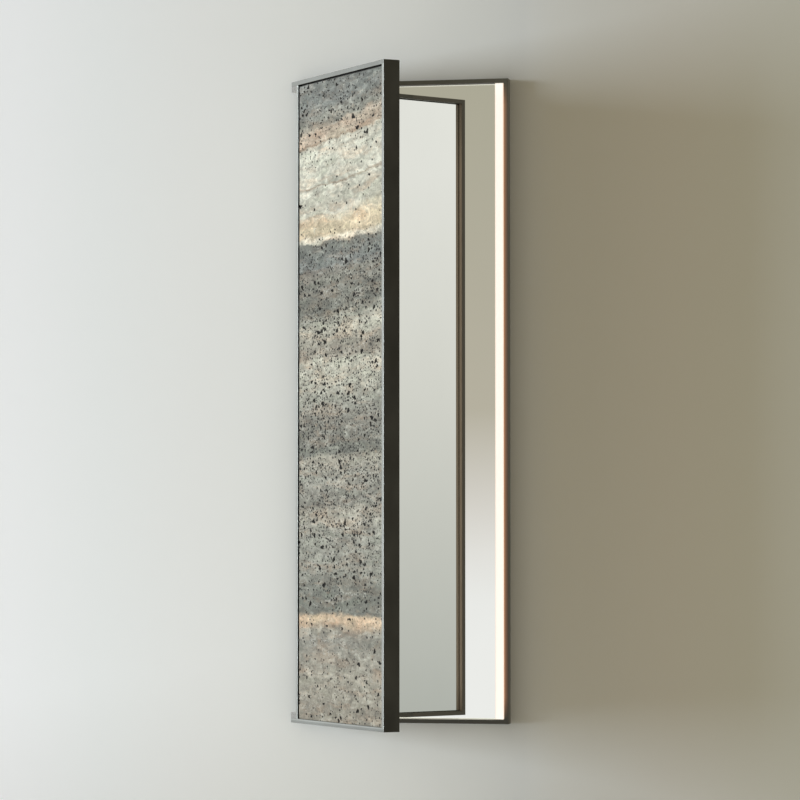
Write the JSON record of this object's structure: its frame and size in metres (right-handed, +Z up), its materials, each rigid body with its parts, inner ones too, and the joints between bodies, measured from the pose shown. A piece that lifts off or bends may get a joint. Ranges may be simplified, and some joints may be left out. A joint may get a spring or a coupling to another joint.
{
  "type": "illuminated mirror",
  "caption": "Wall-hung full-length mirror: a shallow unit with upright light strips at its edges and a pivoted stone-faced door that has a second mirror inside.",
  "frame": {"origin": "centre of the wall rail's screw line, on the wall plane", "axes": "+X to the right seen from the front, +Y into the wall, +Z up"},
  "size_m": [0.5109, 0.4234, 1.5],
  "materials": {
    "dark_frame": "dark bronze anodised, satin",
    "mirror_glass": "silvered float glass, polished",
    "travertine": "honed, veined, with open pores",
    "led_diffuser": "opal",
    "led_channel": "bare, drawn",
    "led_board": "white solder mask",
    "end_cap": "moulded",
    "panel_sheet": "rolled sheet",
    "bare_aluminium": "extruded",
    "stainless": "fine brushed",
    "zinc_steel": "zinc plated",
    "magnet_plating": "nickel plated",
    "bronze_bush": "turned",
    "washer_plastic": "turned",
    "mounting_tape": "foam",
    "setting_rubber": "cut",
    "core_plywood": "black film-faced plywood",
    "driver_shell": "fine moulded texture",
    "driver_circuit": "solder mask",
    "gland_plastic": "moulded",
    "lead_skin": "extruded"
  },
  "bodies": {
    "wall_unit": {"back_panel": "panel_sheet", "back_panel_screws": "zinc_steel", "bracket_nut_bars": "zinc_steel", "bracket_screws": "stainless", "catch_magnets": "magnet_plating", "driver_board": "driver_circuit", "driver_case": "driver_shell", "driver_lid": "driver_shell", "driver_screws": "zinc_steel", "hanging_rail": "bare_aluminium", "hanging_rail_rivets": "bare_aluminium", "inlet_gland": "gland_plastic", "lead_clips": "end_cap", "lead_grommets": "setting_rubber", "led_channel_left": "led_channel", "led_channel_right": "led_channel", "led_diffuser_left": "led_diffuser", "led_diffuser_right": "led_diffuser", "led_end_caps": "end_cap", "led_lead_left": "lead_skin", "led_lead_right": "lead_skin", "led_strip_left": "led_board", "led_strip_right": "led_board", "main_glass_blocks": "setting_rubber", "main_mirror": "mirror_glass", "main_mirror_tapes": "mounting_tape", "pivot_brackets": "stainless", "pivot_pins": "stainless", "thrust_washers": "washer_plastic", "unit_bottom_bar": "dark_frame", "unit_corner_keys": "bare_aluminium", "unit_left_bar": "dark_frame", "unit_right_bar": "dark_frame", "unit_top_bar": "dark_frame", "wall_rail": "bare_aluminium", "wall_spacers": "setting_rubber"},
    "door": {"catch_strikes": "magnet_plating", "core_board": "core_plywood", "door_bottom_rail": "dark_frame", "door_bumpers": "setting_rubber", "door_corner_keys": "bare_aluminium", "door_glass_blocks": "setting_rubber", "door_left_stile": "dark_frame", "door_mirror": "mirror_glass", "door_mirror_tapes": "mounting_tape", "door_right_stile": "dark_frame", "door_top_rail": "dark_frame", "hinge_inserts": "bare_aluminium", "housing_screws": "stainless", "pivot_bushes": "bronze_bush", "pivot_housings": "stainless", "stile_plugs": "bare_aluminium", "stile_screws": "stainless", "stone_slab": "travertine"}
  },
  "joints": [
    {"name": "door_hinge", "type": "hinge", "parent": "wall_unit", "child": "door", "pos_m": [-0.2375, -0.054, 0], "axis": [0, 0, -1], "range_deg": [-50.5, 59.5]}
  ]
}
